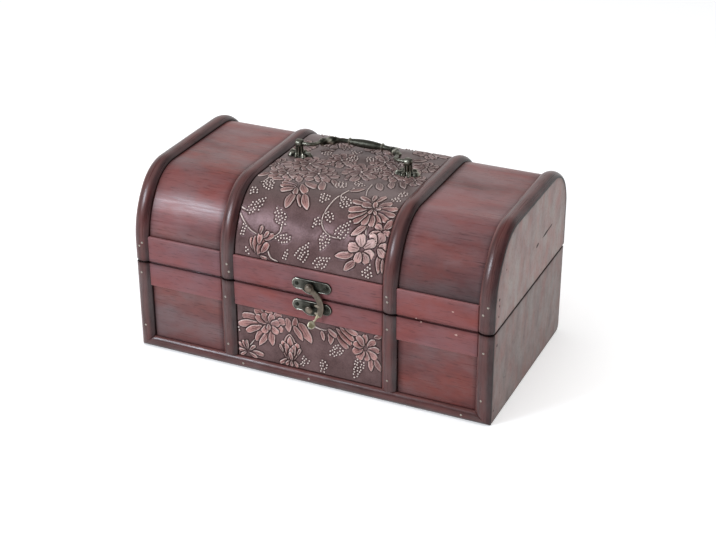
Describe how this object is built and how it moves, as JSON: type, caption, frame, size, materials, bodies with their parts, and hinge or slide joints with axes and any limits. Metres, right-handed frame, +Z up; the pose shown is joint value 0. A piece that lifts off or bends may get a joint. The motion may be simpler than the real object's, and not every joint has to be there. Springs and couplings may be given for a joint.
{
  "type": "treasure chest",
  "caption": "Small domed wooden treasure chest with half-round ribs, an embossed leather centre field, a hinged lid, a swing-hook latch and a bail handle on top.",
  "frame": {"origin": "middle of the underside of the base boards, on the surface that the chest stands on", "axes": "+X to the right along the front, +Y from the front to the back, +Z up"},
  "size_m": [0.24, 0.143, 0.1298],
  "materials": {
    "panel_wood": "satin stain",
    "end_wood": "satin stain",
    "rib_wood": "satin stain",
    "embossed_leather": "embossed, antiqued",
    "antique_bronze": "antiqued"
  },
  "bodies": {
    "base": {"base_front_panel": "panel_wood", "base_back_panel": "panel_wood", "base_left_end": "end_wood", "base_right_end": "end_wood", "base_bottom_panel": "panel_wood", "base_rib_end_left": "rib_wood", "base_rib_inner_left": "rib_wood", "base_rib_inner_right": "rib_wood", "base_rib_end_right": "rib_wood", "base_foot_moulding": "rib_wood", "base_band_left": "rib_wood", "base_band_centre": "rib_wood", "base_band_right": "rib_wood", "base_leather_panel": "embossed_leather", "latch_keeper_plate": "antique_bronze", "latch_stud": "antique_bronze", "latch_keeper_pins": "antique_bronze", "hinge_base_leaf_left": "antique_bronze", "hinge_base_leaf_right": "antique_bronze", "hinge_pin_left": "antique_bronze", "hinge_pin_right": "antique_bronze", "hinge_base_screws": "antique_bronze"},
    "lid": {"lid_left_end": "end_wood", "lid_right_end": "end_wood", "lid_front_panel": "panel_wood", "lid_top_panel": "panel_wood", "lid_back_panel": "panel_wood", "lid_rib_end_left": "rib_wood", "lid_rib_inner_left": "rib_wood", "lid_rib_inner_right": "rib_wood", "lid_rib_end_right": "rib_wood", "lid_band_left": "rib_wood", "lid_band_centre": "rib_wood", "lid_band_right": "rib_wood", "lid_leather_panel": "embossed_leather", "latch_plate": "antique_bronze", "latch_rivet": "antique_bronze", "latch_plate_pins": "antique_bronze", "handle_foot_left": "antique_bronze", "handle_foot_right": "antique_bronze", "handle_foot_pins": "antique_bronze", "hinge_lid_leaf_left": "antique_bronze", "hinge_lid_leaf_right": "antique_bronze", "hinge_lid_screws": "antique_bronze"},
    "hook": {"latch_hook": "antique_bronze"},
    "bail": {"handle_bail": "antique_bronze"}
  },
  "joints": [
    {"name": "lid_hinge", "type": "hinge", "parent": "base", "child": "lid", "pos_m": [0, 0.06635, 0.06135], "axis": [-1, 0, 0], "range_deg": [0, 105]},
    {"name": "hook_pivot", "type": "hinge", "parent": "lid", "child": "hook", "pos_m": [0.0032, -0.06865, 0.0686], "axis": [0, -1, 0], "range_deg": [-15, 85]},
    {"name": "bail_swing", "type": "hinge", "parent": "lid", "child": "bail", "pos_m": [-0.0021, 0.0063, 0.1272], "axis": [1, 0, 0], "range_deg": [0, 194]}
  ]
}
